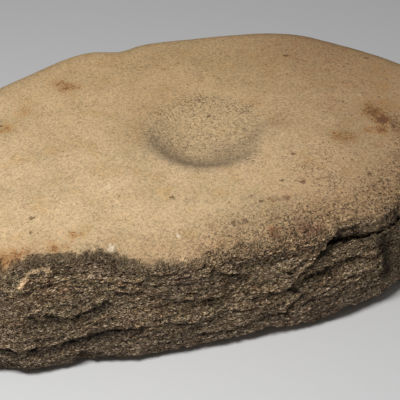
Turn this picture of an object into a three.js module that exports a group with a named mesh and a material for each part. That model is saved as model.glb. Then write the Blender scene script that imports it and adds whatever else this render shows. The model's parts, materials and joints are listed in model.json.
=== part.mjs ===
// A nutting stone: a flat sandstone slab, naturally split along its front, with one round pit
// pecked into its worn top, where nuts were set to be cracked.
// Millimetres, +Z up. The origin is on the floor under the middle of the stone, the long side
// runs along X, and the split face looks towards -Y.
import * as THREE from "three";
import { ImprovedNoise } from "three/addons/math/ImprovedNoise.js";

// Overall size of the slab, before its sides are hollowed by the break.
const STONE_LENGTH = 200;
const STONE_WIDTH = 137;
const STONE_HEIGHT = 51.5;

// The pit: mean diameter of its rim, depth, and the place of its centre from the slab's middle.
const PIT_ACROSS = 43;
const PIT_DEPTH = 5;
const PIT_X = 3.5;
const PIT_Y = -1.5;
// The pit was pecked more steeply on one side: that side's direction, how far the deepest point
// lies towards it, and how far the rim is drawn out the other way.
const PIT_STEEP_SIDE = THREE.MathUtils.degToRad(222);
const PIT_OFFSET = 5;
const PIT_DRAWN_OUT = 1.5;
// The bowl's profile: floor flattens it round the deepest point, rim rounds it off at the rim.
const GENTLE_PROFILE = { floor: 1.7, rim: 1.5 };
const STEEP_PROFILE = { floor: 2.3, rim: 1.2 };

// Roundness of the edge between top and side where it is worn, and where it is freshly split.
const WORN_EDGE = 13;
const SPLIT_EDGE = 3;
// Height and inset of the rounded foot.
const FOOT_HEIGHT = 7;
const FOOT_INSET = 6;

// The top is slightly crowned, falls away towards its front left corner, and is uneven.
const TOP_CROWN = 3.5;
const TOP_FALL = 4;
const TOP_FALL_SIDE = THREE.MathUtils.degToRad(217);
const TOP_UNEVENNESS = 1.6;
const TOP_SWELL_LENGTH = 46;

// The sandstone's beds show on the sides as ledges: how far one steps back from another, how
// long a ledge runs before it changes, and the general roughness of the split face.
const LEDGE_RELIEF = 3.2;
const LEDGE_LENGTH = 26;
const FACE_RELIEF = 3.2;
const FACE_WAVE = 15;
// Top and bottom of each bed, as shares of the height of the side between the two edges.
const BEDS = [
  [1, 0.86],
  [0.83, 0.67],
  [0.64, 0.47],
  [0.44, 0.28],
  [0.25, 0],
];
const BED_WAVE = 3.6;

// The underside is flat over this share of its reach and rises at most this much by the foot.
const REST_SHARE = 0.64;
const UNDERSIDE_RISE = 2.4;

// Layers of the noise, so that no two kinds of unevenness are alike.
const TOP_LAYER = 0.5;
const BED_LAYERS_APART = 3.7;
const UNDERSIDE_LAYER = 8.5;

// How finely the surface is divided.
const COLUMNS = 108;
const PIT_ROWS = 8;
const TOP_ROWS = 7;
const EDGE_ROWS = 4;
const FOOT_ROWS = 3;
const UNDERSIDE_SHARES = [0.9, 0.78, REST_SHARE];

// Places round the slab, anticlockwise from its right end. x and y are shares of half the length
// and half the width. edge goes from 0, split, to 1, worn round. lean is how far the foot stands
// out past the edge, as a share of the height. rough is how strongly the beds show.
const OUTLINE = [
  { x: 1, y: 0.04, edge: 0.7, lean: -0.06, rough: 0.7 },
  { x: 0.935, y: 0.36, edge: 0.9, lean: -0.05, rough: 0.5 },
  { x: 0.78, y: 0.64, edge: 1, lean: -0.04, rough: 0.4 },
  { x: 0.59, y: 0.88, edge: 1, lean: -0.04, rough: 0.35 },
  { x: 0.36, y: 0.965, edge: 0.9, lean: -0.03, rough: 0.35 },
  { x: 0.09, y: 0.99, edge: 0.8, lean: 0, rough: 0.4 },
  { x: -0.24, y: 1, edge: 0.8, lean: 0, rough: 0.4 },
  { x: -0.49, y: 0.895, edge: 1, lean: 0.02, rough: 0.35 },
  { x: -0.81, y: 0.67, edge: 1, lean: 0.02, rough: 0.3 },
  { x: -0.95, y: 0.33, edge: 1, lean: 0, rough: 0.3 },
  { x: -1, y: -0.1, edge: 0.9, lean: -0.03, rough: 0.5 },
  { x: -0.96, y: -0.47, edge: 0.9, lean: 0.08, rough: 0.8 },
  { x: -0.82, y: -0.7, edge: 0.8, lean: 0.14, rough: 1 },
  { x: -0.62, y: -0.75, edge: 0.7, lean: 0.12, rough: 1 },
  { x: -0.45, y: -0.85, edge: 0.6, lean: 0.03, rough: 1 },
  { x: -0.29, y: -0.95, edge: 0.4, lean: -0.08, rough: 1 },
  { x: 0.13, y: -0.96, edge: 0.2, lean: -0.07, rough: 1 },
  { x: 0.49, y: -0.94, edge: 0.05, lean: -0.12, rough: 1 },
  { x: 0.6, y: -0.84, edge: 0.1, lean: -0.06, rough: 1 },
  { x: 0.76, y: -0.66, edge: 0.35, lean: -0.04, rough: 0.9 },
  { x: 0.92, y: -0.32, edge: 0.5, lean: -0.06, rough: 0.8 },
];

// Flakes broken off the edges. x, y and z are shares as above, z of the whole height, across and
// deep are millimetres.
const CHIPS = [
  { x: -0.09, y: 0.97, z: 0.95, across: 22, deep: 3.5 },
  { x: -0.74, y: -0.83, z: 0.8, across: 20, deep: 3 },
  { x: -0.6, y: -0.84, z: 0.03, across: 14, deep: 2 },
  { x: 0.1, y: -0.9, z: 0.03, across: 12, deep: 1.5 },
  { x: 0.6, y: -0.84, z: 0.45, across: 24, deep: 2 },
];

const noise = new ImprovedNoise();
const mix = THREE.MathUtils.lerp;

// Points at even shares, up to and with 1, of the way along a stretch of a section.
function rows(count, pointAt) {
  return Array.from({ length: count }, (_, row) => pointAt((row + 1) / count));
}

// Smooth noise from 0 to 1 over the plan, whose humps and hollows are about length across.
function unevenness(x, y, length, layer) {
  return (1 + noise.noise(x / length, y / length, layer)) / 2;
}

// The outline as a smooth closed curve in plan.
const plan = new THREE.CatmullRomCurve3(
  OUTLINE.map(({ x, y }) => new THREE.Vector3((x * STONE_LENGTH) / 2, (y * STONE_WIDTH) / 2, 0)),
  true,
  "centripetal",
);

// One of the outline's other figures, eased from place to place.
function trait(name, t) {
  const place = t * OUTLINE.length;
  const before = Math.floor(place);
  const share = THREE.MathUtils.smoothstep(place - before, 0, 1);
  const from = OUTLINE[before % OUTLINE.length][name];
  const to = OUTLINE[(before + 1) % OUTLINE.length][name];
  return mix(from, to, share);
}

// Height of the top at a place in plan, without the pit.
function topHeight(x, y) {
  const [acrossLength, acrossWidth] = [(2 * x) / STONE_LENGTH, (2 * y) / STONE_WIDTH];
  const crown = TOP_CROWN * (acrossLength ** 2 + acrossWidth ** 2);
  const [towardsX, towardsY] = [Math.cos(TOP_FALL_SIDE), Math.sin(TOP_FALL_SIDE)];
  const towards = Math.max(0, towardsX * acrossLength + towardsY * acrossWidth);
  const hollowing = TOP_UNEVENNESS * unevenness(x, y, TOP_SWELL_LENGTH, TOP_LAYER);
  return STONE_HEIGHT - crown - TOP_FALL * towards ** 2 - hollowing;
}

// Radius of the pit's rim in a direction.
function rimRadius(direction) {
  return PIT_ACROSS / 2 - PIT_DRAWN_OUT * Math.cos(direction - PIT_STEEP_SIDE);
}

// A point of the pit's bowl, at a share of the way from its deepest point to its rim.
function pitPoint(direction, share) {
  const steepness = (1 + Math.cos(direction - PIT_STEEP_SIDE)) / 2;
  const floor = mix(GENTLE_PROFILE.floor, STEEP_PROFILE.floor, steepness);
  const rim = mix(GENTLE_PROFILE.rim, STEEP_PROFILE.rim, steepness);
  const bowl = (1 - share ** floor) ** rim;
  const offset = PIT_OFFSET * (1 - share);
  const radius = rimRadius(direction) * share;
  const x = PIT_X + radius * Math.cos(direction) + offset * Math.cos(PIT_STEEP_SIDE);
  const y = PIT_Y + radius * Math.sin(direction) + offset * Math.sin(PIT_STEEP_SIDE);
  return new THREE.Vector3(x, y, topHeight(x, y) - PIT_DEPTH * bowl);
}

// How far the side steps back at a bed and a place round the slab.
function ledge(bed, place) {
  return LEDGE_RELIEF * unevenness(place.x, place.y, LEDGE_LENGTH, bed * BED_LAYERS_APART);
}

// How far the side is hollowed at a point by the roughness of the break.
function hollow(point) {
  return FACE_RELIEF * unevenness(point.x, point.y, FACE_WAVE, point.z / FACE_WAVE);
}

// How far the joint between two beds rises at a place round the slab.
function bedWave(level, place) {
  return BED_WAVE * (unevenness(place.x, place.y, LEDGE_LENGTH, level) - 1 / 2);
}

// A point moved in by the flakes broken off near it.
function chipped(point) {
  const middle = new THREE.Vector3(0, 0, STONE_HEIGHT / 2);
  for (const chip of CHIPS) {
    const centre = new THREE.Vector3(
      (chip.x * STONE_LENGTH) / 2,
      (chip.y * STONE_WIDTH) / 2,
      chip.z * STONE_HEIGHT,
    );
    const reach = point.distanceTo(centre) / (chip.across / 2);
    if (reach < 1) {
      const inwards = middle.clone().sub(centre).normalize();
      point.addScaledVector(inwards, chip.deep * (1 - reach ** 2) ** 2);
    }
  }
  return point;
}

// Rows of the pit, from near its deepest point to its rim.
function pitRows({ widest }) {
  const direction = Math.atan2(widest.y - PIT_Y, widest.x - PIT_X);
  return rows(PIT_ROWS, (share) => pitPoint(direction, share));
}

// Rows of the top, from the pit's rim to the brow of the edge.
function topRows({ brow }, rim) {
  return rows(TOP_ROWS, (share) => {
    const point = rim.clone().lerp(brow, share);
    return point.setZ(topHeight(point.x, point.y));
  });
}

// Rows of the rounded edge, from the brow to where the side begins.
function edgeRows({ brow, outwards, edge }) {
  const rounded = rows(EDGE_ROWS, (share) => {
    const turn = (share * Math.PI) / 2;
    const point = brow.clone().addScaledVector(outwards, edge * Math.sin(turn));
    return point.setZ(brow.z - edge * (1 - Math.cos(turn)));
  });
  return rounded.slice(0, -1);
}

// Two rows for each bed of the side, so that one bed steps back from the next.
function sideRows({ widest, outwards, brow, edge, lean, rough }) {
  const sideHeight = brow.z - edge - FOOT_HEIGHT;
  return BEDS.flatMap((levels, bed) =>
    levels.map((level) => {
      const isJoint = level > 0 && level < 1;
      const wave = isJoint ? bedWave(level, widest) : 0;
      const point = widest.clone().setZ(FOOT_HEIGHT + sideHeight * level + wave);
      const inset = (ledge(bed, widest) + hollow(point)) * rough - lean * (1 - level);
      return point.addScaledVector(outwards, -inset);
    }),
  );
}

// Rows of the rounded foot, down to the edge of the underside.
function footRows({ outwards }, foot) {
  const rise = UNDERSIDE_RISE * unevenness(foot.x, foot.y, FACE_WAVE, UNDERSIDE_LAYER);
  return rows(FOOT_ROWS, (share) => {
    const turn = (share * Math.PI) / 2;
    const point = foot.clone().addScaledVector(outwards, -FOOT_INSET * (1 - Math.cos(turn)));
    return point.setZ(mix(FOOT_HEIGHT, rise, Math.sin(turn)));
  });
}

// Rows of the underside, from its edge in to where it is flat.
function undersideRows(sole) {
  return UNDERSIDE_SHARES.map((reach) => {
    const rise = (sole.z * (reach - REST_SHARE)) / (1 - REST_SHARE);
    return new THREE.Vector3(sole.x * reach, sole.y * reach, rise);
  });
}

// One section of the surface, from the pit's deepest point over the edge to the underside.
function section(share) {
  const t = plan.getUtoTmapping(share);
  const widest = plan.getPoint(t);
  const tangent = plan.getTangent(t);
  const outwards = new THREE.Vector3(tangent.y, -tangent.x, 0);
  const edge = mix(SPLIT_EDGE, WORN_EDGE, trait("edge", t));
  const brow = widest.clone().addScaledVector(outwards, -edge);
  brow.setZ(topHeight(brow.x, brow.y));
  const lean = trait("lean", t) * STONE_HEIGHT;
  const place = { widest, outwards, edge, brow, lean, rough: trait("rough", t) };

  const pit = pitRows(place);
  const top = topRows(place, pit.at(-1));
  const side = sideRows(place);
  const foot = footRows(place, side.at(-1));
  const underside = undersideRows(foot.at(-1));
  const outside = [...top, ...edgeRows(place), ...side, ...foot, ...underside];
  return [...pit, ...outside.map(chipped)];
}

// Closes the sections, which all have as many points, into one surface between its two poles.
function closedSurface(sections, top, bottom) {
  const length = sections[0].length;
  const points = [top, ...sections.flat(), bottom];
  const at = (column, row) => 1 + (column % sections.length) * length + row;
  const faces = [];
  for (let column = 0; column < sections.length; column++) {
    faces.push(0, at(column, 0), at(column + 1, 0));
    for (let row = 0; row + 1 < length; row++) {
      const [a, b] = [at(column, row), at(column + 1, row)];
      const [c, d] = [at(column + 1, row + 1), at(column, row + 1)];
      const shorter = points[a].distanceTo(points[c]) < points[b].distanceTo(points[d]);
      faces.push(...(shorter ? [a, d, c, a, c, b] : [a, d, b, d, c, b]));
    }
    faces.push(at(column, length - 1), points.length - 1, at(column + 1, length - 1));
  }
  return new THREE.BufferGeometry().setFromPoints(points).setIndex(faces);
}

function stoneGeometry() {
  const sections = [];
  for (let column = 0; column < COLUMNS; column++) sections.push(section(column / COLUMNS));
  const deepest = pitPoint(0, 0);
  const geometry = closedSurface(sections, deepest, new THREE.Vector3(0, 0, 0));
  geometry.computeBoundingBox();
  const centre = geometry.boundingBox.getCenter(new THREE.Vector3());
  geometry.translate(-centre.x, -centre.y, -geometry.boundingBox.min.z);
  geometry.computeVertexNormals();
  return geometry;
}

const sandstone = new THREE.MeshStandardMaterial({ color: 0xb39a6c, roughness: 0.95, metalness: 0 });

const nuttingStone = new THREE.Group();
const stone = new THREE.Mesh(stoneGeometry(), sandstone);
stone.name = "stone";
nuttingStone.add(stone);

export default nuttingStone;
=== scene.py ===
"""A nutting stone: a worn, split slab of sandstone with one pecked pit, in a plain studio."""

import json
import math
import random
from types import SimpleNamespace

import bpy
import numpy as np
from mathutils import Matrix, Vector, kdtree


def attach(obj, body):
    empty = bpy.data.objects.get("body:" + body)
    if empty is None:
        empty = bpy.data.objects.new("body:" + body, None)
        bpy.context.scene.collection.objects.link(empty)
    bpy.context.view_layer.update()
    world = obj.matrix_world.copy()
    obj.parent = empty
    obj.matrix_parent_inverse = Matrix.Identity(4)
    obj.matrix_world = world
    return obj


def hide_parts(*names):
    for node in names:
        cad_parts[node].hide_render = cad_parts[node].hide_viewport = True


bl_info = {
    "name": "Nutting Stone",
    "version": (1, 0, 0),
    "blender": (4, 5, 0),
    "location": "View3D > Sidebar > Nutting Stone",
    "description": "Models a worn sandstone slab with a pecked pit, and its studio",
    "category": "Object",
}

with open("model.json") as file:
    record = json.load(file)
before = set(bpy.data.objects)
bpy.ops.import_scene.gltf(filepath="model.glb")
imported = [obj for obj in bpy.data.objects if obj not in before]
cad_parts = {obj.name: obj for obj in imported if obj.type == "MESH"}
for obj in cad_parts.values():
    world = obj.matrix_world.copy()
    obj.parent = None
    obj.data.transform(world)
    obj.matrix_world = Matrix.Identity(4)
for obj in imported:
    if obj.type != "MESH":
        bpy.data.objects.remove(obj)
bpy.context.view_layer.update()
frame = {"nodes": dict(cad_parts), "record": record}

MM = 0.001

# Places on the stone are in millimetres, as (x, y) seen from above on the top and the underside,
# and as (x, z) seen from in front on the split front face. The pit's middle lies a little behind
# and to the right of the space that the end of a nut fills.
nut_low, nut_high = frame["record"]["physics"]["openings"][0]["box_m"]
PIT_MIDDLE = ((nut_low[0] + nut_high[0]) / 2 / MM + 3.8, (nut_low[1] + nut_high[1]) / 2 / MM + 4.6)
PIT_RADIUS = 21.5

# How level the surface still is where the worn top ends: at the split front, where it breaks off
# at once, and at the back and the ends, where it is worn round.
BROW_STEEPNESS, WORN_STEEPNESS = 0.93, 0.3
LOWEST_BROW = 38
# The share of the front's relief that the back and the ends have.
WORN_RELIEF = 0.5
# How much the back left of the top is raised.
BACK_LIFT = 1.2
# How many rounds of smoothing the top bed's edge gets before the relief.
SOFTENING = 25
# The slant of the split face's small scales, rising to the right, in radians.
TILT = 0.17
# The layers of relief: the texture, the width and the height of its bumps, the vertex group, how
# flat the bumps are, how they slant, and which level of the texture leaves the surface in place.
RELIEF = [
    ("swell", 30, 2.6, "rounded", 0.7, 0, 0.6),
    ("swell", 13, 1.4, "split", 0.5, 0, 0.5),
    ("plates", 5, 0.22, "split", 0.35, 0, 0.5),
    ("scales", 4, -0.65, "split", 0.45, TILT, 0.5),
    ("scales", 1.7, -0.7, "split", 0.42, TILT, 0.5),
    ("swell", 16, 0.5, "worn", 1, 0, 0.5),
    ("swell", 3, 0.16, "worn", 1, 0, 0.5),
    ("scales", 1.5, 0.35, "pecked", 1, 0, 0.5),
    ("scales", 1.7, 0.65, "pitted", 1, 0, 0.5),
    ("swell", 5, 0.3, "under", 1, 0, 0.5),
]
SEED = 11
TRIANGLES = 196000

# The camera looks past a point on the top, which stands this many pixels right of and above the
# picture's middle. The key light's direction is a heading from +X and a height above level.
LOOKED_AT = (3.5, -1.5, 50.5)
PICTURE_PIXELS, PIXELS_RIGHT, PIXELS_ABOVE = 400, 3, 70
KEY_HEADING, KEY_HEIGHT, KEY_WIDTH, KEY_DISTANCE = 226, 56, 0.15, 0.5

# The brow of the front face, where the worn top breaks off into the split side.
BROW = [(-80, -46.3), (-77, -44.6), (-74, -43.5), (-68.7, -43.2), (-63.8, -45.5), (-58.9, -47.5),
        (-54.4, -48.5), (-50, -47.7), (-47.4, -48), (-45.3, -50.2), (-42.8, -53.3), (-39.5, -56.2),
        (-36.2, -58.9), (-33, -59.9), (-27.3, -61.1), (-21.2, -63.5), (-18, -64.2), (-15, -62.9),
        (-10.4, -63.2), (-5.2, -62.8), (-0.5, -62.7), (4, -63), (12.4, -63.2), (19, -63),
        (24, -63.4), (28, -63.6), (32, -62.8), (36, -62.3), (40, -62.8), (44, -62.6), (48, -61.4),
        (53, -58.6), (56, -55.6)]
# Between these places the brow is worn round: how far back that starts, and how much it drops.
ROUND_LEFT, ROUND_RIGHT, ROUND_BACK, ROUND_DROP = -12, 27, -58, 2.0

# Joints between the beds that have opened on the front face. The bed above each one overhangs it.
FRONT_CRACKS = [
    {"along": [(-71, 23.6), (-67, 23.4), (-63.4, 22.8), (-59.6, 22.6), (-56, 23.2), (-53, 24.6),
               (-50.5, 26.2), (-48, 28)], "tall": 3.2, "deep": 2.0},
    {"along": [(-90, 12.8), (-84, 12.4), (-78, 12), (-72.8, 12.2), (-67.6, 12.2), (-63, 12.8),
               (-59, 13.6), (-54.5, 14.4), (-51, 15), (-46.6, 16), (-43, 17), (-38, 17.4)],
     "tall": 2.6, "deep": 2.0},
    {"along": [(-37.5, 37.4), (-35, 40.4), (-31.5, 41.4)], "tall": 1.2, "deep": 1.6},
    {"along": [(-43, 42.2), (-36, 42.6)], "tall": 1.2, "deep": 1.0},
    {"along": [(-13.5, 41), (-10.6, 42.6), (-4.5, 43.2)], "tall": 1.4, "deep": 1.6},
    {"along": [(-10, 38), (-4, 35.6), (-1.2, 33.6), (2, 34.4)], "tall": 1.2, "deep": 1.4},
    {"along": [(3, 22.8), (9, 23), (13, 23.2), (16.5, 22), (20, 23), (23, 24.8), (28, 24.4),
               (31, 25.6), (34, 28), (40, 28), (49, 26)], "tall": 2.2, "deep": 1.6},
    {"along": [(4, 11.2), (10.6, 12.2), (14, 11.8), (15.4, 14.6), (19, 17.6)],
     "tall": 1.6, "deep": 1.7},
    {"along": [(-30, 26.4), (-21, 27.8), (-12, 26.6)], "tall": 1.2, "deep": 1.0},
    {"along": [(-27, 17.4), (-18, 16.2), (-10, 18)], "tall": 1.2, "deep": 1.1},
    {"along": [(-16, 9.4), (-6, 8.6), (1, 9.8)], "tall": 1.2, "deep": 1.2},
    {"along": [(-50, 32.6), (-44, 31.8), (-38, 33)], "tall": 1.2, "deep": 0.9},
    {"along": [(24, 14.8), (31, 14), (38, 15.6)], "tall": 1.2, "deep": 1.1},
]
# A flake has come off the front face to the right of a slanting line, which leaves a step.
STEP_LINE = [(14.5, 23.5), (18, 28.5), (21.6, 32), (24.6, 36.2), (27.4, 39.5), (29, 43),
             (30.6, 46.5)]
STEP_DEEP, STEP_REACH, STEP_FOOT, STEP_HEAD, STEP_RIGHT = 2.8, 30, 23, 43.5, 62
# Beneath the right part of the brow the top bed has crumbled away, down to this height.
NOTCH_LOW, NOTCH_RIGHT, NOTCH_BACK, NOTCH_DROP = 37.5, 60, 2.2, 2.6
# The top bed's foremost line, as (x, z), where the solid overhangs, and how much it is cut back.
TOP_BED = [(-85, 38), (-65, 38.8), (-45, 40.2), (-25, 41.4), (-15, 42), (-5, 43), (5, 44), (60, 44)]
TOP_BED_CUT = 1.3
# A crescent-shaped scar near the left end of the front face, as (x, y, z): a hollow under a lip.
CRESCENT = [(-75.4, -49.6, 36.2), (-74.8, -49.5, 38.2), (-73.8, -49, 39.6), (-71.7, -48.3, 41.2),
            (-69, -48.1, 41.9), (-66.4, -48.2, 42.3), (-65, -49.3, 41.6)]
CRESCENT_HOLLOW = (-70.6, 38.8)
# How high the scar's lip stands out, and how wide its painted highlight is.
CRESCENT_LIP_HIGH, CRESCENT_LIP_WIDE = 0.7, 1.4
# Bites out of the foot of the front face, as place, radius and depth, and a hollow beside its
# right corner.
BITES = [((-56.5, 4.5), 4.5, 2.6), ((8.6, 3), 4, 1.8), ((38, 3), 5, 0.8), ((-82, 3), 6, 1.5)]
CORNER_HOLLOW = [(51, 33), (53.4, 25), (54, 16)]

# Stains: where each is, how far it spreads, and how strong it is. The dots are single dark
# specks, and the wall marks painted shade, greyer than the top, on the pit's near and right walls.
STAINS_ON_TOP = {
    "rust": [(-35.4, 39.5, 4, 0.9), (-37, 42.5, 3, 0.8), (-32.5, 38.5, 3, 0.6), (-53, 30.6, 4, 0.5),
             (-62.6, 22.9, 3.5, 0.7), (65.5, -8, 4.5, 1.1), (67, -12.5, 4, 1.1),
             (65.5, -3.5, 3.5, 0.8), (64.3, -18.5, 3.2, 1.0), (59.8, -17.6, 2.6, 0.7),
             (48.4, -18.6, 3.2, 0.85), (51.8, -20.6, 3, 0.7), (71, -5, 6, 0.5), (74, 6, 6, 0.4),
             (78, 17, 7, 0.4), (72, -22, 5, 0.4), (-74.6, -41, 3.5, 0.9), (-79, -41.2, 4, 0.9),
             (-70.7, -40.7, 2.5, 0.7), (-61.3, -42.4, 2.5, 0.9), (-57.5, -42.6, 2.2, 0.7),
             (-54.3, -38.6, 2.5, 0.8), (-51.6, -39.4, 2, 0.7), (14.7, -44.4, 2.5, 0.5),
             (18.8, -45.1, 2.2, 0.4), (9.6, -58.9, 3.0, 0.45), (40, 36, 9, 0.25)],
    "freckles": [(3.7, 18.9, 4, 0.9), (9, 17.2, 4, 0.9), (13.3, 14.7, 3.5, 0.7), (18, 10, 3.5, 0.7),
                 (22.4, 5.4, 3.5, 0.8), (-7.4, 14.6, 3, 0.9), (31, -33, 9, 0.6), (38, -40, 9, 0.7),
                 (50, -42, 9, 0.4), (-13, -61, 4, 1.1), (70, -15, 6, 1.1), (66, -8, 7, 0.7),
                 (68, 10, 7, 0.5), (50, -19, 6, 0.7), (40, -28, 9, 0.5), (48, 38, 10, 0.35),
                 (30, 40, 9, 0.2), (22.5, -62.5, 5, 1.2), (11, -60, 5, 0.9), (30, -58, 6, 0.8),
                 (66, 28, 10, 0.4), (-60, 24, 8, 0.5), (-64, -30, 7, 0.4), (14, -24, 5, 0.6),
                 (8, -43, 6, 0.5), (-6, 38, 8, 0.3), (52, 4, 7, 0.4), (24, -56, 12, 0.5)],
    "dots": [(8.1, -40.9, 1.6, 1), (10.5, -44.2, 1.1, 1), (0.3, -36.4, 1.0, 1), (2, -51.8, 1.5, 1),
             (-2.3, -51.4, 1.3, 1), (27.2, -38.9, 1.3, 1), (30.8, -41, 1.0, 1),
             (-65, -26.4, 1.5, 1), (-67.4, -33.2, 1.1, 1), (-17.8, -32.9, 1.3, 1),
             (28.8, -24, 1.2, 1), (31.6, -32, 1.4, 1), (56.9, 1, 1.2, 1), (39, -38.3, 1.1, 1),
             (51, -40.5, 1.3, 1), (20.4, -36.5, 1.0, 1), (13.4, -24.4, 1.0, 1),
             (69.6, -17.4, 1.4, 1), (8.9, 8.9, 1.0, 1), (76.6, 26.7, 1.4, 1), (48.1, 35.9, 1.1, 1),
             (-63.4, 25, 1.2, 1)],
    "dull": [(-12, 16.5, 7, 0.5), (-17, 8.3, 5, 0.4), (-20, 2, 6, 0.35), (24, -52, 16, 0.3),
             (42, -48, 14, 0.1), (-0.5, 24, 8, 0.3), (-80, -43, 7, 0.8), (-68, -42, 6, 0.4),
             (60, 40, 18, 0.25), (30, -5, 6, 0.3), (-1, 46, 12, 0.2), (-46, 9, 9, 0.12),
             (-42, -46, 5, 0.35), (-33, -55, 6, 0.5), (-25, -56, 5, 0.45), (-17, -59, 6, 0.5),
             (-6, -57, 7, 0.45), (-86, -38, 8, 0.2)],
    "pale": [(-36.9, -21.6, 2.5, 0.9), (-40.5, -19, 2, 0.6), (-43.6, -48.8, 2.6, 1.0),
             (-15.3, -47.5, 2, 0.8), (-21.4, -51.1, 2.2, 0.8), (65, 3.8, 2, 0.8),
             (-67.7, -30.3, 1.8, 0.6), (-63.5, -30, 1.6, 0.6), (29.3, -13.4, 1.5, 0.8)],
    "wall": [(6.9, -10.2, 4, 0.7), (10.8, -11.2, 4, 0.8), (15.5, -11, 4, 0.7), (19.6, -9.5, 4, 0.6),
             (24, -7, 4, 0.5), (29.1, -4.5, 4, 0.35), (34, -2, 4, 0.2)],
    "purple": [(20.8, -60.6, 4, 1.0), (24, -61.6, 3, 0.9), (10, -59.4, 2.6, 0.9),
               (66.6, -13.4, 2.6, 0.9), (69, -20, 2.5, 0.7), (8, -61, 2.4, 0.7),
               (13.6, -44.2, 1.8, 0.9), (16.4, -44.9, 1.6, 0.9), (19.4, -45.2, 1.8, 1.0)],
}
# The fresh areas get painted light, brighter where facets face the lamp, and the dim ones are
# darker.
STAINS_ON_FRONT = {
    "rust": [(-71.8, 38.4, 2.6, 1.2), (-66, 33.6, 3.5, 0.8), (-61, 33.4, 3, 0.9), (-68, 17, 4, 0.5),
             (20, 41, 5, 0.6), (-2, 24, 3, 0.5), (16, 34, 6, 0.4)],
    "purple": [(-24, 39, 6, 1.0), (-76, 17, 8, 0.5), (12, 30, 6, 0.4), (48, 14, 9, 0.5)],
    "fresh": [(40, 33, 10, 1.0), (-76, 38, 7, 1.4), (-64, 36, 8, 1.5), (-52, 38, 8, 1.4),
              (-66, 31, 6, 0.8), (16, 40, 4, 1.7), (1, 34, 4, 1.5), (23, 29, 4, 1.7),
              (-35, 22.6, 6, 1.2), (-35, 31.6, 4, 0.7), (50, 44, 6, 1.2)],
    "dim": [(30, 13, 13, 0.35), (-58, 14, 6, 0.3), (-50, 15, 6, 0.4), (-42, 15.5, 5, 0.3),
            (-28, 12, 6, 0.3), (-76, 7.6, 5, 0.3), (-52, 6, 6, 0.35), (39, 22, 6, 0.3),
            (47, 19, 6, 0.25), (54, 16, 5, 0.25), (-6, 18, 5, 0.15), (1, 16.5, 5, 0.2),
            (8, 14.6, 5, 0.25), (31, 8.4, 5, 0.45), (-28, 31, 5, 0.25), (-21, 39, 5, 0.25),
            (-86, 35, 6, 0.2)],
}


# Masks and places on the mesh

def coordinates(mesh):
    """The mesh's corners in millimetres."""
    flat = np.empty(len(mesh.vertices) * 3)
    mesh.vertices.foreach_get("co", flat)
    return flat.reshape(-1, 3) / MM


def set_coordinates(mesh, points):
    """Moves the mesh's corners to points in millimetres."""
    mesh.vertices.foreach_set("co", (points * MM).ravel())
    mesh.update()


def normals(mesh):
    """The direction in which the surface faces at each corner."""
    flat = np.empty(len(mesh.vertices) * 3)
    mesh.vertex_normals.foreach_get("vector", flat)
    return flat.reshape(-1, 3)


def ease(low, high, value):
    """0 below low, 1 above high, and a smooth rise between them."""
    share = np.clip((value - low) / (high - low), 0, 1)
    return share * share * (3 - 2 * share)


def distance_to_line(points, line):
    """How far each point is from a line of straight stretches, and how far to its left.

    The line can be on a plane or in space.
    """
    nearest = np.full(len(points), np.inf)
    leftwards = np.zeros(len(points))
    for start, end in zip(line[:-1], line[1:]):
        start, end = np.array(start, float), np.array(end, float)
        along = end - start
        share = np.clip((points - start) @ along / (along @ along), 0, 1)
        away = points - start - share[:, None] * along
        gap = np.linalg.norm(away, axis=1)
        left = away[:, 1] * along[0] - away[:, 0] * along[1]
        left /= np.hypot(along[0], along[1])
        closer = gap < nearest
        nearest[closer], leftwards[closer] = gap[closer], left[closer]
    return nearest, leftwards


def edge_distance(mesh, points, on_top):
    """Millimetres from the brow of the edge: below 0 on the worn top, above 0 on the sides."""
    ends = np.empty(len(mesh.edges) * 2, int)
    mesh.edges.foreach_get("vertices", ends)
    a, b = ends.reshape(-1, 2).T
    brow = on_top[a] != on_top[b]
    middles = (points[a[brow]] + points[b[brow]]) / 2
    tree = kdtree.KDTree(len(middles))
    for index, place in enumerate(middles.tolist()):
        tree.insert(place, index)
    tree.balance()
    gap = np.array([tree.find(place)[2] for place in points.tolist()])
    return np.where(on_top, -gap, gap)


def margin(points, outwards, edge):
    """The rougher, browner margin of the top above the split front, from 0 to 1."""
    x, y = points[:, 0], points[:, 1]
    band = ease(-23, -4, edge) * ease(-45, 25, x) + 0.4 * ease(-5, -1, edge)
    return np.clip(band, 0, 1) * ease(0, 15, -y) * ease(0.3, 0.7, outwards[:, 2])


def find_areas(mesh):
    """The worn top, the split sides and the areas between them, most of them from 0 to 1."""
    points, outwards = coordinates(mesh), normals(mesh)
    x, y, z = points.T
    away = np.hypot(x - PIT_MIDDLE[0], y - PIT_MIDDLE[1])
    pit = (1 - ease(PIT_RADIUS - 3, PIT_RADIUS + 2, away)) * (outwards[:, 2] > 0.3)
    level = np.hypot(outwards[:, 0], outwards[:, 1])
    frontal = ease(0.05, 0.5, -outwards[:, 1] / np.maximum(level, 1e-6))
    steepness = WORN_STEEPNESS + (BROW_STEEPNESS - WORN_STEEPNESS) * frontal
    on_top = (outwards[:, 2] > steepness) | (pit > 0)
    along_brow = (y < 0) & (x > BROW[0][0]) & (x < BROW[-1][0])
    behind_brow = (y > np.interp(x, *zip(*BROW))) & (outwards[:, 2] > WORN_STEEPNESS)
    on_top = np.where(along_brow, behind_brow & (z > LOWEST_BROW), on_top)
    edge = edge_distance(mesh, points, on_top)
    side = ease(-1.5, 2.5, edge)
    browned = (1 - ease(0, 8, edge)) * ease(-45, 5, x) * frontal
    return SimpleNamespace(
        on_top=on_top, edge_mm=edge, side=side, frontal=frontal, pit=pit,
        coarse=margin(points, outwards, edge), browned=browned * (1 - 0.7 * ease(26, 34, x)),
        shoulder=side * frontal * ease(0.15, 0.7, outwards[:, 2]),
    )


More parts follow.
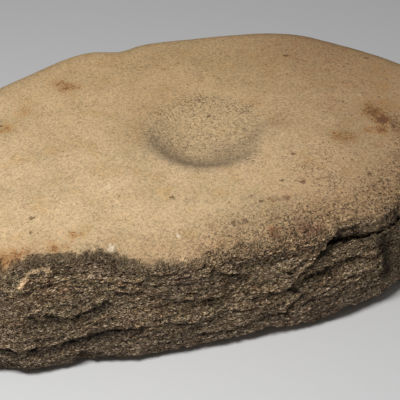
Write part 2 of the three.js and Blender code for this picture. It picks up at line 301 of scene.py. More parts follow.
def near_places(across, along, places):
    """The strongest of some soft round patches, each (first, second, radius, strength)."""
    strength = np.zeros(len(across))
    for first, second, radius, strong in places:
        away = np.hypot(across - first, along - second) / radius
        strength = np.maximum(strength, strong * np.exp(-away ** 2))
    return strength


# Modelling

def deselect_all():
    for thing in bpy.context.selected_objects:
        thing.select_set(False)


def make_active(piece):
    deselect_all()
    piece.select_set(True)
    bpy.context.view_layer.objects.active = piece


def apply_modifier(piece, kind, **settings):
    """Adds a modifier and applies it, as by hand."""
    modifier = piece.modifiers.new(kind.title(), kind)
    for name, value in settings.items():
        setattr(modifier, name, value)
    make_active(piece)
    bpy.ops.object.modifier_apply(modifier=modifier.name)


def fill_group(piece, name, weights):
    """A vertex group with a weight for every corner, set in steps of a fiftieth."""
    group = piece.vertex_groups.new(name=name)
    steps = np.rint(weights * 50).astype(int)
    for step in range(1, 51):
        group.add(np.flatnonzero(steps == step).tolist(), step / 50, "REPLACE")


def roughen(piece, texture, size, height, group, flat, tilt, middle):
    """Raises and sinks the surface by a procedural texture whose bumps are size across."""
    scale = bpy.data.objects.new("bump_size", None)
    scale.scale = Vector((size, size * flat ** 0.5, size * flat)) * MM
    scale.rotation_euler = (0, -tilt, 0)
    bpy.context.collection.objects.link(scale)
    bpy.context.view_layer.update()
    apply_modifier(
        piece, "DISPLACE", texture=texture, texture_coords="OBJECT", texture_coords_object=scale,
        strength=height * MM, mid_level=middle, vertex_group=group,
    )
    bpy.data.objects.remove(scale)


def new_texture(name, kind, **settings):
    """A procedural texture with bumps of one unit."""
    made = bpy.data.textures.new(name, kind)
    made.noise_scale = 1
    for key, value in settings.items():
        setattr(made, key, value)
    return made


def add_relief(piece):
    """Raises and sinks the surface by each layer of relief in turn."""
    textures = {
        "swell": new_texture("swell", "CLOUDS", noise_basis="IMPROVED_PERLIN", noise_depth=2),
        "plates": new_texture("plates", "DISTORTED_NOISE", noise_basis="CELL_NOISE",
                              noise_distortion="IMPROVED_PERLIN", distortion=1.2),
        "scales": new_texture("scales", "VORONOI", distance_metric="DISTANCE", noise_intensity=1),
    }
    for name, *layer in RELIEF:
        roughen(piece, textures[name], *layer)


def smooth_slab(name, voxel):
    """A copy of the slab's solid as one even net of small faces, its facets smoothed away."""
    piece = bpy.data.objects.new(name, frame["nodes"]["stone"].data.copy())
    bpy.context.collection.objects.link(piece)
    make_active(piece)
    bpy.ops.object.mode_set(mode="EDIT")
    bpy.ops.mesh.select_all(action="SELECT")
    bpy.ops.mesh.remove_doubles(threshold=0.01 * MM)
    bpy.ops.mesh.tris_convert_to_quads(face_threshold=math.pi, shape_threshold=math.pi)
    bpy.ops.object.mode_set(mode="OBJECT")
    apply_modifier(piece, "SUBSURF", levels=2, render_levels=2)
    apply_modifier(piece, "REMESH", mode="VOXEL", voxel_size=voxel * MM)
    return piece


def waver(values, draw, lengths=(4.1, 6.7, 11.3)):
    """A smooth run of numbers from about -1 to 1 along a line."""
    total = np.zeros(len(values))
    for length in lengths:
        total += np.sin(values * 2 * math.pi / length + draw.uniform(0, 2 * math.pi))
    return total / len(lengths)


def flaked_step(seen, draw):
    """The step that a flake left on the front.

    Returns how far it moves each point outwards, how much it shades it, and how far each lies
    to the right of the step.
    """
    x, z = seen.T
    _, left = distance_to_line(seen, STEP_LINE)
    past = 0.5 * waver(z, draw, (2.9, 5.3, 9.1)) - left
    fresh = ease(-0.2, 1.2, past) * (1 - 0.8 * ease(STEP_REACH * 0.4, STEP_REACH, past))
    fresh *= ease(STEP_FOOT - 2, STEP_FOOT + 3, z) * (1 - ease(STEP_HEAD - 0.8, STEP_HEAD + 0.8, z))
    shade = ease(-0.8, 0.5, past) * np.exp(-(np.maximum(past - 3.4, 0) / 1.5) ** 2)
    shade *= ease(STEP_FOOT, STEP_FOOT + 10, z)
    return -STEP_DEEP * fresh * (x < STEP_RIGHT), shade * (x < STEP_RIGHT), past


def open_joint(seen, along, tall, deep, draw):
    """An open joint between two beds: how far it moves each point outwards, and its shade."""
    x = seen[:, 0]
    gap, above = distance_to_line(seen, along)
    ends = np.exp(-(np.maximum(gap ** 2 - above ** 2, 0) / 6))
    above = above + 0.4 * waver(x, draw)
    below = ease(-1.4, 1.2, -above)
    under = below * np.exp(-(np.maximum(-above, 0) / tall) ** 2)
    lip = np.exp(-((above - 1.6) / 1.2) ** 2)
    patchy = 0.7 + 0.3 * waver(x, draw, (7.3, 12.1))
    shade = below * np.exp(-(np.maximum(-above - 1.6, 0) / 1.5) ** 2)
    moved = (0.25 * lip - 0.75 * deep * under * patchy) * ends
    return moved, shade * ends * (0.5 + 0.5 * patchy) * deep / 2.2


def carve_front(points, outwards, areas, scar_gap, draw):
    """The placed features of the split front face: its step, cracks, scar, bites and hollow.

    scar_gap is how far each point is from the scar's lip. Returns the moved points, and how much
    painted shade each gets in the step, the cracks, the corner hollow and under the notch.
    """
    seen = points[:, [0, 2]]
    x, y, z = points.T
    front = areas.side * ease(0.2, 0.5, -outwards[:, 1])

    # Painted shade along the step and the open joints, below their overhangs.
    moved, crevice, past_step = flaked_step(seen, draw)
    for crack in FRONT_CRACKS:
        shift, shade = open_joint(seen, crack["along"], crack["tall"], crack["deep"], draw)
        moved += shift
        crevice = np.maximum(crevice, shade)
    scar = np.hypot(x - CRESCENT_HOLLOW[0], z - CRESCENT_HOLLOW[1])
    moved += CRESCENT_LIP_HIGH * np.exp(-((scar_gap / 1.2) ** 2))
    moved -= 0.6 * np.exp(-((scar / 2.6) ** 2))
    crest = np.interp(x, *zip(*TOP_BED)) + 0.5 * waver(x, draw, (9.7, 17.3))
    moved -= TOP_BED_CUT * np.exp(-(((z - crest) / 2.3) ** 2)) * ease(4, 8, scar)
    for place, radius, deep in BITES:
        bite = np.hypot(x - place[0], z - place[1]) / radius
        moved -= deep * (1 - ease(0.2, 1, bite))
    gap, _ = distance_to_line(seen, CORNER_HOLLOW)
    hollow = np.exp(-(((gap + 0.8 * waver(z, draw)) / 3) ** 2))
    moved -= 1.5 * hollow
    # Painted shade in the hollow beside the corner.
    crevice = np.maximum(crevice, 0.8 * hollow)
    carved = points + outwards * (moved * front)[:, None]

    notch = ease(0.1, 1.6, areas.edge_mm)
    notch *= ease(NOTCH_LOW, NOTCH_LOW + 2.5, z + 0.8 * waver(x, draw))
    notch *= ease(-0.4, 1.6, past_step) * (1 - ease(NOTCH_RIGHT - 3, NOTCH_RIGHT, x)) * (y < 0)
    carved[:, 1] += NOTCH_BACK * notch * (1 - 0.5 * ease(36, 46, x))
    squeezed = NOTCH_LOW + 0.2 * (z - NOTCH_LOW)
    height = carved[:, 2]
    carved[:, 2] = np.maximum(height - NOTCH_DROP * notch, np.minimum(height, squeezed))
    # Painted shade in the crevices and in the notch under the brow.
    return carved, np.clip(np.maximum(crevice * front, 0.48 * notch), 0, 1)


def wear_edges(points, areas):
    """Rounds a stretch of the brow, and lifts the back left of the top."""
    x, y, z = points.T
    rounding = ease(-ROUND_BACK, 67, -y) * ease(40, 45, z)
    rounding *= ease(ROUND_LEFT - 6, ROUND_LEFT + 6, x) * (1 - ease(ROUND_RIGHT - 3, ROUND_RIGHT, x))
    lift = BACK_LIFT * areas.on_top * ease(15, 55, y) * (1 - ease(-5, 30, x))
    points[:, 2] += lift - ROUND_DROP * rounding


def flake_scars(points, outwards, side, draw, count):
    """Shallow scars of flakes, each with a sharp upper edge, scattered over the sides."""
    places = np.flatnonzero(side > 0.9)
    moved = np.zeros(len(points))
    for _ in range(count):
        centre = points[places[draw.randrange(len(places))]]
        long, tall = draw.uniform(3, 10), draw.uniform(1.2, 3.2)
        deep = draw.uniform(0.25, 0.7)
        tilt = draw.uniform(-0.05, 0.35)
        near = np.flatnonzero(np.abs(points - centre).max(1) < long)
        away = points[near] - centre
        across = np.hypot(away[:, 0], away[:, 1])
        up = (away[:, 2] - tilt * away[:, 0]) / tall
        bowl = np.clip(1 - (across / long) ** 2 - up ** 2, 0, 1)
        undercut = 0.35 + 0.65 * ease(-0.9, 0.5, up)
        moved[near] = np.minimum(moved[near], -deep * bowl * undercut)
    return points + outwards * (moved * side)[:, None]


def brow_chips(points, outwards, edge, draw, count):
    """Small bites out of the brow, where the worn top breaks off into the split sides."""
    places = np.flatnonzero(np.abs(edge - 0.5) < 1.2)
    moved = np.zeros(len(points))
    for _ in range(count):
        centre = points[places[draw.randrange(len(places))]]
        radius, deep = draw.uniform(1.2, 4), draw.uniform(0.15, 0.6)
        near = np.flatnonzero(np.abs(points - centre).max(1) < radius)
        away = np.linalg.norm(points[near] - centre, axis=1) / radius
        moved[near] = np.minimum(moved[near], -deep * (1 - away ** 2).clip(0))
    return points + outwards * moved[:, None]


def smoothed(mesh, points, rounds):
    """The points with each one drawn to the middle of its neighbours, some rounds over."""
    ends = np.empty(len(mesh.edges) * 2, int)
    mesh.edges.foreach_get("vertices", ends)
    a, b = ends.reshape(-1, 2).T
    count = np.bincount(ends, minlength=len(points))[:, None]
    smooth = points.copy()
    for _ in range(rounds):
        total = np.zeros_like(smooth)
        for axis in range(3):
            total[:, axis] = np.bincount(a, smooth[b, axis], len(points))
            total[:, axis] += np.bincount(b, smooth[a, axis], len(points))
        smooth = total / count
    return smooth


def cavity(mesh, rounds):
    """How hollow the surface is at each corner: above 0 in hollows, below 0 on ridges, in mm."""
    points, outwards = coordinates(mesh), normals(mesh)
    return ((smoothed(mesh, points, rounds) - points) * outwards).sum(1)


def add_measure(mesh, name, values):
    """A named number on every corner, which the material reads."""
    attribute = mesh.attributes.new(name, "FLOAT", "POINT")
    attribute.data.foreach_set("value", values.astype(np.float32))


def add_stains(mesh):
    """Measures for the material: hollows, where each kind of stain is strong, and where shade and
    light are painted.
    """
    add_measure(mesh, "hollow_mm", cavity(mesh, 4))
    points, outwards = coordinates(mesh), normals(mesh)
    x, y, z = points.T
    top = ease(0.3, 0.7, outwards[:, 2])
    front = ease(0.3, 0.6, -outwards[:, 1]) * (1 - top)

    # Painted shade on the pit's wall on the near left side, which faces away from the key light.
    bearing = ((x - PIT_MIDDLE[0]) * -0.5 + (y - PIT_MIDDLE[1]) * -0.87) / PIT_RADIUS
    reach = np.hypot(x - PIT_MIDDLE[0], y - PIT_MIDDLE[1]) / PIT_RADIUS
    wall = ease(-0.25, 0.8, bearing) * ease(0.3, 0.85, reach) * (1 - ease(0.95, 1.15, reach))
    on_top = {name: near_places(x, y, places) for name, places in STAINS_ON_TOP.items()}
    on_top["freckles"] = (on_top["freckles"] + 0.3 * ease(-40, 60, x)).clip(0, 1.2)
    on_top["dull"] = on_top["dull"] + 0.67 * ease(-5, 80, x)
    on_top["wall"] = np.maximum(on_top["wall"], wall)
    on_top["warmth"] = ease(-15, 40, y) * ease(-75, -35, x)
    on_front = {name: near_places(x, z, places) for name, places in STAINS_ON_FRONT.items()}
    on_front["foot"] = 1 - ease(4, 26, z)
    for name in sorted({*on_top, *on_front}):
        add_measure(mesh, name, top * on_top.get(name, 0) + front * on_front.get(name, 0))


# Materials

class Wire:
    """A shader socket, so that sums on it can be written as expressions."""

    def __init__(self, net, socket):
        self.net = net
        self.socket = socket

    def _sum(self, operation, *values):
        return self.net.node("ShaderNodeMath", {"operation": operation}, dict(enumerate(values)))

    def __add__(self, other):
        return self._sum("ADD", self, other)

    def __sub__(self, other):
        return self._sum("SUBTRACT", self, other)

    def __rsub__(self, other):
        return self._sum("SUBTRACT", other, self)

    def __mul__(self, other):
        return self._sum("MULTIPLY", self, other)

    __radd__ = __add__
    __rmul__ = __mul__

    def at_least(self, limit):
        return self._sum("MAXIMUM", self, limit)


class Net:
    """A material's nodes."""

    def __init__(self, name):
        self.material = bpy.data.materials.new(name)
        self.material.use_nodes = True
        self.nodes = self.material.node_tree.nodes
        self.nodes.clear()

    def node(self, kind, settings=None, inputs=None, output=0):
        """Adds a node: its settings first, then the values or wires of its sockets."""
        made = self.nodes.new(kind)
        for name, value in (settings or {}).items():
            setattr(made, name, value)
        for key, value in (inputs or {}).items():
            socket = made.inputs[key]
            if isinstance(value, Wire):
                self.material.node_tree.links.new(value.socket, socket)
            else:
                socket.default_value = value
        return Wire(self, made.outputs[output]) if len(made.outputs) else made

    def mix(self, share, first, second):
        """A colour between two colours."""
        return self.node("ShaderNodeMix", {"data_type": "RGBA", "clamp_factor": True},
                         {0: share, 6: first, 7: second}, output=2)

    def layered(self, colour, layers):
        """A colour with others laid over it in turn, each with its share."""
        for share, over in layers:
            colour = self.mix(share, colour, over)
        return colour

    def shade(self, colour, brightness):
        """A colour made brighter or darker."""
        return self.node("ShaderNodeVectorMath", {"operation": "SCALE"},
                         {0: colour, "Scale": brightness})

    def ramp(self, value, low, high):
        """0 where value is below low, 1 where it is above high, and smooth between them."""
        return self.node("ShaderNodeMapRange", {"interpolation_type": "SMOOTHSTEP"},
                         {"Value": value, "From Min": low, "From Max": high})

    def measures(self, *names):
        """Numbers stored on the mesh."""
        return [self.node("ShaderNodeAttribute", {"attribute_name": name}, output=2)
                for name in names]

    def grey(self, colour):
        """The first channel of a colour, as a number."""
        return self.node("ShaderNodeSeparateColor", None, {0: colour})

    def places(self, centre=(0, 0, 0), size=(1, 1, 1), tilt=0.0):
        """The object's coordinates in units of size, in millimetres, from a centre."""
        here = self.node("ShaderNodeTexCoord", output=3)
        return self.node("ShaderNodeMapping", {"vector_type": "TEXTURE"}, {
            "Vector": here, "Location": Vector(centre) * MM, "Rotation": (0, -tilt, 0),
            "Scale": Vector(size) * MM})

    def tone(self, left, right):
        """A number that goes from left to right along the stone."""
        place = self.node("ShaderNodeSeparateXYZ", None, {0: self.places(size=(100, 100, 100))})
        return left + self.ramp(place, -0.6, 0.05) * (right - left)

    def noise(self, size, detail=2.0, rough=0.5, flat=1.0, tilt=0.0, centre=(0, 0, 0)):
        """Noise from about 0.2 to 0.8 whose patches are size across."""
        return self.node(
            "ShaderNodeTexNoise", None,
            {"Vector": self.places(centre, (size, size * flat ** 0.5, size * flat), tilt),
             "Scale": 1.0, "Detail": detail, "Roughness": rough})

    def cells(self, size, flat=1.0, output=0, centre=(0, 0, 0)):
        """Cells of size across: output 0 is the distance from a cell's middle, 1 its own colour."""
        return self.node(
            "ShaderNodeTexVoronoi", None,
            {"Vector": self.places(centre, (size, size, size * flat)), "Scale": 1.0},
            output=output)


def linear(red, green, blue):
    """A colour read off a screen, from 0 to 255, as the shader's own values."""
    def one(value):
        share = value / 255
        return share / 12.92 if share <= 0.04045 else ((share + 0.055) / 1.055) ** 2.4
    return (one(red), one(green), one(blue), 1.0)


def worn_stone(net, noise, settings):
    """The colour of the worn top and of the pit, with painted shade on the pit's near wall."""
    rust, freckles, dots, pale, purple, dull, wall, warmth, pit, coarse = net.measures(
        "rust", "freckles", "dots", "pale", "purple", "dull", "wall", "warmth", "pit", "coarse")
    patch, blot, fine, grain = noise.patch, noise.blot, noise.fine, noise.grain
    pecks = net.noise(0.68, 2.0, centre=(9, 0, 0))
    ruddy = net.ramp(net.noise(5, 3.0, 0.6, centre=(0, 50, 0)), 0.48, 0.66)
    halo = net.ramp(rust + (fine - 0.5) * 1.4 + (blot - 0.5) * 0.8, 0.15, 0.75)
    core = net.ramp(rust + (fine - 0.5) * 2.6 + (grain - 0.5) * 2.4, 0.6, 1.1)
    freckle = net.ramp(freckles + (pecks - 0.5) * 3.2 + (blot - 0.5) * 1.6, 0.85, 1.25)
    spots = net.ramp(net.grey(net.cells(2.3, output=1)) + freckles * 0.6, 0.92, 0.98)
    spots = spots * net.ramp(net.cells(2.3), 0.22, 0.1)
    colour = net.layered(settings.buff, [
        (net.ramp(noise.broad + (patch - 0.5) * 0.5, 0.38, 0.66), settings.grey_buff),
        (net.ramp(patch, 0.5, 0.72) * 0.45, settings.ochre),
        (warmth * 0.3, settings.ochre),
        (dull, settings.dull_top),
        (ruddy * (0.08 + dull * 0.35), settings.ruddy),
        (pit * 0.4, settings.pit_grey),
        # Painted shade on the pit's near wall.
        (wall * 0.7, settings.pit_wall_shade_colour),
        (coarse * net.ramp(blot, 0.25, 0.6) * 0.85, settings.brow_brown),
        (net.ramp(pale + (fine - 0.5) * 1.4, 0.5, 1.0) * 0.6, settings.pale),
        (halo * 0.5, settings.orange),
        (core * 0.8, settings.rust),
        (freckle * 0.55, settings.speck),
        (net.ramp(purple + (fine - 0.5) * 1.8, 0.4, 0.8) * 0.6, settings.purple_top),
        (spots * 0.6, settings.speck),
        (net.ramp(dots + (fine - 0.5) * 1.3, 0.42, 0.68) * 0.72, settings.speck),
        (net.ramp(pecks, 0.54, 0.66) * (pit * 0.45 + coarse * 0.35), settings.speck),
    ])
    contrast = 1.0 + coarse * 1.6 + pit * 0.3
    return net.shade(colour, 1.0 - coarse * 0.12 + (blot - 0.5) * 0.3
                     + ((fine - 0.5) * 0.95 + (grain - 0.5) * 1.1) * contrast)


def split_stone(net, noise, settings):
    """The colour of the split front, and of the back and the ends, with painted shade and
    highlights.
    """
    hollow, crevice, shoulder, frontal, rust, purple = net.measures(
        "hollow_mm", "crevice", "shoulder", "frontal", "rust", "purple")
    lip, fresh, dim, browned, foot = net.measures("lip", "fresh", "dim", "browned", "foot")
    patch, blot, fine = noise.patch, noise.blot, noise.fine
    tint = net.noise(4, 3.0, 0.6, flat=0.6, centre=(0, 30, 0))
    hue = net.noise(1.5, 2.0, 0.6, flat=0.5, centre=(70, 0, 0))
    colour = net.layered(settings.dark_side, [
        (net.ramp(net.noise(15, 3.0, flat=0.5), 0.42, 0.6), settings.brown_side),
        (net.ramp(patch, 0.5, 0.66) * 0.5, settings.olive_side),
        (net.ramp(tint, 0.52, 0.68) * 0.4, settings.red_side),
        (net.ramp(hue, 0.5, 0.64) * 0.45, settings.grey_scale),
        (net.ramp(hue, 0.48, 0.36) * 0.45, settings.yellow_scale),
        (net.ramp(purple + (blot - 0.5) * 0.8, 0.35, 0.8) * 0.7, settings.purple_side),
        (net.ramp(browned + (blot - 0.5) * 1.6, 0.25, 0.9) * 0.6, settings.brow_brown),
        (foot * 0.35, settings.grey_scale),
    ])
    colour = net.shade(colour, 1 + (patch - 0.5) * 0.7)
    # The scar's lip is a painted highlight in the pale lip colour.
    lip = net.ramp(lip + (fine - 0.5) * 1.4 + (blot - 0.5) * 0.8, 0.4, 0.95)
    rubbed = net.ramp(patch + (blot - 0.5) * 0.8 + (noise.broad - 0.5) * 0.8, 0.46, 0.7)
    grains = net.grey(net.cells(0.95, flat=0.8, output=1))
    colour = net.layered(colour, [
        (lip, settings.lip),
        (net.ramp(rust + (fine - 0.5) * 1.8, 0.3, 0.9) * 0.6, settings.red_side),
        (rubbed * (1 - frontal) * 0.6, settings.rubbed_side),
        (net.ramp(grains, 0.8, 0.86) * 0.55 * (1 - lip), settings.pale_grain_and_highlight),
    ])
    # The grains' brightness follows the bump's heights: painted shade between the grains, in the
    # warm shade colour, and painted highlights on them, in the pale grain colour; the scar's lip
    # gets a painted highlight, and all of it is darker towards the left end.
    light = (noise.flakes * 1.1 + noise.grit * 4.0 + noise.sand * 4.0 - 3.55).at_least(0.08)
    colour = net.mix(net.ramp(light + lip, 0.3, 1.2), settings.warm_shade, colour)
    colour = net.mix(net.ramp(light, 1.2, 2.4) * 0.5, colour, settings.pale_grain_and_highlight)
    light = (light + (1.6 - light) * lip * 0.65) * net.tone(1.4, 2.12)
    # Painted light and shade: the fresh areas are brighter and the dim ones darker, hollows get
    # painted shade and ridges a painted highlight, and crevices, recesses and the up-facing shoulder
    # of the front get painted shade.
    for brightness in (
        light * (1 + fresh * 0.3) * (1 - dim),
        1.0 - net.ramp(hollow, 0.03, 0.3) * 0.7,
        1.0 + net.ramp(hollow, -0.04, -0.3) * 0.7 * (1 - shoulder),
        (1.0 - crevice * 0.82) * (1 - shoulder * 0.15),
    ):
        colour = net.shade(colour, brightness)
    return colour


def sandstone(settings):
    """Buff sandstone: worn and stained on top, dark, rough and bedded where it is split."""
    net = Net("sandstone")
    noise = SimpleNamespace(
        broad=net.noise(30), patch=net.noise(8, 3.0, centre=(40, 0, 0)),
        blot=net.noise(3, 3.0, 0.6), fine=net.noise(1.15, 2.0, 0.6), grain=net.noise(0.56, 1.0),
        flakes=net.noise(2.3, 3.0, 0.6, flat=0.33, tilt=TILT),
        grit=net.noise(1.05, 3.0, 0.65, flat=0.36, tilt=TILT),
        sand=net.noise(0.64, 1.0, flat=0.5, tilt=TILT, centre=(0, 0, 9)),
    )
    edge, coarse, frontal, pit = net.measures("edge_mm", "coarse", "frontal", "pit")
    ragged = (noise.patch - 0.5) * (9 - frontal * 5 + coarse * 5)
    ragged = ragged + (noise.blot - 0.5) * (4 + coarse * 3)
    ragged = ragged + (noise.fine - 0.5) * 5 + (noise.grain - 0.5) * 4
    ragged = ragged + (noise.broad - 0.5) * (1 - frontal) * 14
    spread = (1 - coarse * 0.4) * (0.4 + frontal * 0.6)
    split = net.ramp((edge + ragged - 2.5 * (1 - frontal)) * spread, -1.4, 2.2)
    colour = net.mix(split, worn_stone(net, noise, settings), split_stone(net, noise, settings))

    worn_bumps = (noise.fine * 0.2 + noise.grain * 0.12) * (1 + coarse * 2 + pit)
    split_bumps = noise.flakes * 1.0 + noise.grit * 3.6 + noise.sand * 2.2
    bump = net.node("ShaderNodeBump", None, {
        "Height": worn_bumps * (1 - split) + split_bumps * split, "Distance": MM})
    shader = net.node("ShaderNodeBsdfPrincipled", None, {
        "Base Color": colour, "Normal": bump, "Roughness": 0.9, "Specular IOR Level": 0.25})
    net.node("ShaderNodeOutputMaterial", None, {"Surface": shader})
    return net.material


def plain(name, colour, roughness):
    """A material of one colour."""
    net = Net(name)
    shader = net.node("ShaderNodeBsdfPrincipled", None, {
        "Base Color": colour, "Roughness": roughness, "Specular IOR Level": 0.1})
    net.node("ShaderNodeOutputMaterial", None, {"Surface": shader})
    return net.material


# Settings

def colour(name, description, red, green, blue):
    """A setting for a colour, given as read off a screen."""
    return bpy.props.FloatVectorProperty(
        name=name, description=description, subtype="COLOR", size=4,
        default=linear(red, green, blue))


class StoneSettings(bpy.types.PropertyGroup):
    """Sizes of the stone's relief and its colours."""

    voxel: bpy.props.FloatProperty(
        name="Net", description="Width of the faces it is modelled with, in millimetres",
        default=0.5, min=0.3, max=3)
    flakes: bpy.props.IntProperty(
        name="Flake scars", description="Number of small scars on the sides", default=200)
    chips: bpy.props.IntProperty(
        name="Brow chips", description="Number of small bites out of the brow", default=240)
    buff: colour("Buff", "Colour of the worn top", 205, 176, 136)
    grey_buff: colour("Grey buff", "Colour of the top's duller areas", 190, 165, 126)
    ochre: colour("Ochre", "Colour of the top's warmer patches", 198, 160, 106)
    dull_top: colour("Dull top", "Colour of the dirtier right side of the top", 167, 134, 97)
    pale: colour("Pale", "Colour of the pale flecks", 226, 212, 186)
    rust: colour("Rust", "Colour of the iron stains", 104, 62, 34)
    orange: colour("Orange", "Colour around the iron stains", 180, 126, 66)
    speck: colour("Specks", "Colour of the dark specks on the top", 92, 66, 44)
    purple_top: colour("Purple stain", "Colour of the purplish stains on the top", 104, 70, 54)
    ruddy: colour("Ruddy", "Colour of the top's pinkish patches", 176, 128, 92)
    # The pit wall colour is painted shade on the pit's near wall.
    pit_wall_shade_colour: colour("Pit wall", "Colour of the pit's steeper side", 152, 131, 104)
    brow_brown: colour("Brow", "Colour of the rougher band above the split front", 142, 114, 84)
    pit_grey: colour("Pit", "Colour of the pecked stone in the pit", 165, 144, 108)
    dark_side: colour("Dark side", "Colour of the split sides", 112, 98, 76)
    brown_side: colour("Brown side", "Colour of browner areas of the sides", 112, 93, 71)
    olive_side: colour("Olive side", "Colour of yellower areas of the sides", 116, 104, 76)
    # The scar lip's pale colour is a painted highlight.
    lip: colour("Scar lip", "Colour of the pale lip of the crescent scar", 198, 167, 128)
    grey_scale: colour("Grey scales", "Colour of the split sides' greyer scales", 100, 88, 84)
    yellow_scale: colour("Yellow scales", "Colour of the split sides' yellower scales", 130, 108, 66)
    # Pale grains are also the painted highlights on the sides' grains; the warm shade is painted
    # shade between them.
    pale_grain_and_highlight: colour("Pale grains", "Colour of single pale grains on the sides", 176, 156, 130)
    warm_shade: colour("Warm shade", "Colour of the sides between the grains", 114, 86, 54)
    red_side: colour("Red side", "Colour of reddish areas of the sides", 124, 84, 62)
    rubbed_side: colour(
        "Rubbed side", "Colour of the lighter patches of the back and the ends",
        156, 132, 98)
    purple_side: colour("Purple side", "Colour of purplish areas of the sides", 92, 72, 68)


class StudioSettings(bpy.types.PropertyGroup):
    """The view and the lights."""

    azimuth: bpy.props.FloatProperty(
        name="Azimuth", description="Direction of view, from looking along +Y",
        subtype="ANGLE", default=math.radians(-18))
    elevation: bpy.props.FloatProperty(
        name="Elevation", description="Height of the view above level", subtype="ANGLE",
        default=math.radians(38))
    distance: bpy.props.FloatProperty(
        name="Distance", description="From the camera to the pit", unit="LENGTH", default=0.7)
    seen_width: bpy.props.FloatProperty(
        name="Width seen", description="Width of the view at the pit", unit="LENGTH",
        default=0.1408)
    key_power: bpy.props.FloatProperty(
        name="Key light", description="Power of the main light", unit="POWER", default=2.6)
    fill: bpy.props.FloatProperty(
        name="Fill", description="Strength of the light from all round", default=0.12)


# Operators

class OBJECT_OT_nutting_stone(bpy.types.Operator):
    """Model the weathered slab over its plain solid"""

    bl_idname = "object.nutting_stone"
    bl_label = "Nutting Stone"
    bl_options = {"REGISTER", "UNDO"}

    def execute(self, context):
        settings = context.scene.stone_settings
        draw = random.Random(SEED)
        piece = smooth_slab("weathered_stone", settings.voxel)
        mesh = piece.data
        areas = find_areas(mesh)
        points, outwards = coordinates(mesh), normals(mesh)
        wear_edges(points, areas)
        scar_gap, _ = distance_to_line(points, CRESCENT)
        bed = np.interp(points[:, 0], *zip(*TOP_BED))
        soft = areas.side * areas.frontal * ease(-7, -3, points[:, 2] - bed)
        points += (smoothed(mesh, points, SOFTENING) - points) * soft[:, None]
        points, crevice = carve_front(points, outwards, areas, scar_gap, draw)
        points = flake_scars(points, outwards, areas.side, draw, settings.flakes)
        points = brow_chips(points, outwards, areas.edge_mm, draw, settings.chips)
        set_coordinates(mesh, points)

        clear = ease(0.2, 3, points[:, 2])
        rough = areas.side * (WORN_RELIEF + (1 - WORN_RELIEF) * areas.frontal)
        groups = {
            "split": rough * clear,
            "worn": 1 - areas.side,
            "pecked": areas.pit,
            "pitted": np.maximum(areas.coarse * ease(-14, -1, areas.edge_mm), areas.shoulder),
            "under": areas.side * (1 - clear),
            "rounded": areas.side * (1 - areas.frontal) * clear,
        }
        for name, weights in groups.items():
            fill_group(piece, name, weights)
        add_relief(piece)

        for name in ("edge_mm", "pit", "browned", "shoulder", "coarse", "frontal"):
            add_measure(mesh, name, getattr(areas, name))
        # Painted shade for the front's crevices, recesses and notch.
        add_measure(mesh, "crevice", crevice)
        # Where the scar's lip gets its painted highlight.
        add_measure(mesh, "lip", np.exp(-((scar_gap / CRESCENT_LIP_WIDE) ** 2)))
        faces = sum(len(face.vertices) - 2 for face in mesh.polygons)
        apply_modifier(piece, "DECIMATE", ratio=TRIANGLES / faces)
        add_stains(mesh)
        for group in list(piece.vertex_groups):
            piece.vertex_groups.remove(group)
        make_active(piece)
        bpy.ops.object.shade_smooth()
        mesh.materials.clear()
        mesh.materials.append(sandstone(settings))
        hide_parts("stone")
        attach(piece, "root")
        return {"FINISHED"}


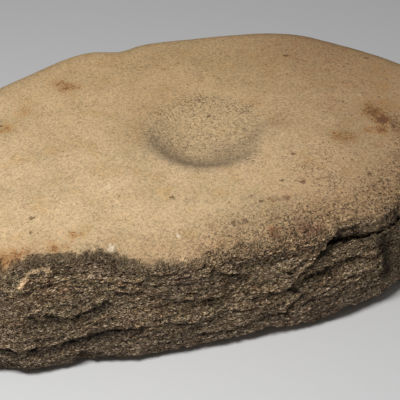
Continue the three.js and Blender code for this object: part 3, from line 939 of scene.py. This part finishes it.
class SCENE_OT_stone_studio(bpy.types.Operator):
    """Add the floor, the lights and the camera"""

    bl_idname = "scene.stone_studio"
    bl_label = "Studio"
    bl_options = {"REGISTER", "UNDO"}

    def execute(self, context):
        settings = context.scene.studio_settings
        deselect_all()
        bpy.ops.mesh.primitive_plane_add(size=6)
        floor = context.active_object
        floor.name = "floor"
        floor.data.materials.append(plain("pale_floor", (0.68, 0.68, 0.68, 1), 0.9))

        world = bpy.data.worlds.new("studio")
        context.scene.world = world
        world.use_nodes = True
        background = world.node_tree.nodes["Background"]
        background.inputs["Color"].default_value = (1, 1, 1, 1)
        background.inputs["Strength"].default_value = settings.fill

        heading, height = math.radians(KEY_HEADING), math.radians(KEY_HEIGHT)
        towards = Vector((math.cos(heading) * math.cos(height),
                          math.sin(heading) * math.cos(height), math.sin(height)))
        data = bpy.data.lights.new("key", "AREA")
        data.shape = "DISK"
        data.size = KEY_WIDTH
        data.energy = settings.key_power
        key = bpy.data.objects.new("key", data)
        key.location = towards * KEY_DISTANCE + Vector((-0.02, -0.02, 0.05))
        key.rotation_euler = towards.to_track_quat("Z", "Y").to_euler()
        context.collection.objects.link(key)

        aim = Vector(LOOKED_AT) * MM
        turn, rise = settings.azimuth, settings.elevation
        back = Vector((math.sin(turn) * math.cos(rise), -math.cos(turn) * math.cos(rise),
                       math.sin(rise)))
        right = Vector((math.cos(turn), math.sin(turn), 0))
        up = back.cross(right)
        data = bpy.data.cameras.new("camera")
        data.sensor_width = 36
        data.lens = data.sensor_width * settings.distance / settings.seen_width
        data.clip_start = 0.01
        camera = bpy.data.objects.new("camera", data)
        pixel = settings.seen_width / PICTURE_PIXELS
        place = (aim + back * settings.distance - right * PIXELS_RIGHT * pixel
                 - up * PIXELS_ABOVE * pixel)
        camera.matrix_world = Matrix.Translation(place) @ Matrix(
            (right, up, back)).transposed().to_4x4()
        context.collection.objects.link(camera)
        context.scene.camera = camera
        context.scene.view_settings.view_transform = "Standard"
        return {"FINISHED"}


class VIEW3D_PT_nutting_stone(bpy.types.Panel):
    """The stone and its studio"""

    bl_label = "Nutting Stone"
    bl_space_type = "VIEW_3D"
    bl_region_type = "UI"
    bl_category = "Nutting Stone"

    def draw(self, context):
        for settings, operator in (
            (context.scene.stone_settings, OBJECT_OT_nutting_stone),
            (context.scene.studio_settings, SCENE_OT_stone_studio),
        ):
            for name in settings.__annotations__:
                self.layout.prop(settings, name)
            self.layout.operator(operator.bl_idname)


CLASSES = [StoneSettings, StudioSettings, OBJECT_OT_nutting_stone, SCENE_OT_stone_studio,
           VIEW3D_PT_nutting_stone]


def register():
    for each in CLASSES:
        bpy.utils.register_class(each)
    bpy.types.Scene.stone_settings = bpy.props.PointerProperty(type=StoneSettings)
    bpy.types.Scene.studio_settings = bpy.props.PointerProperty(type=StudioSettings)


def unregister():
    del bpy.types.Scene.stone_settings
    del bpy.types.Scene.studio_settings
    for each in reversed(CLASSES):
        bpy.utils.unregister_class(each)


def main():
    register()
    bpy.ops.scene.stone_studio()
    bpy.ops.object.nutting_stone()


if __name__ == "__main__":
    main()
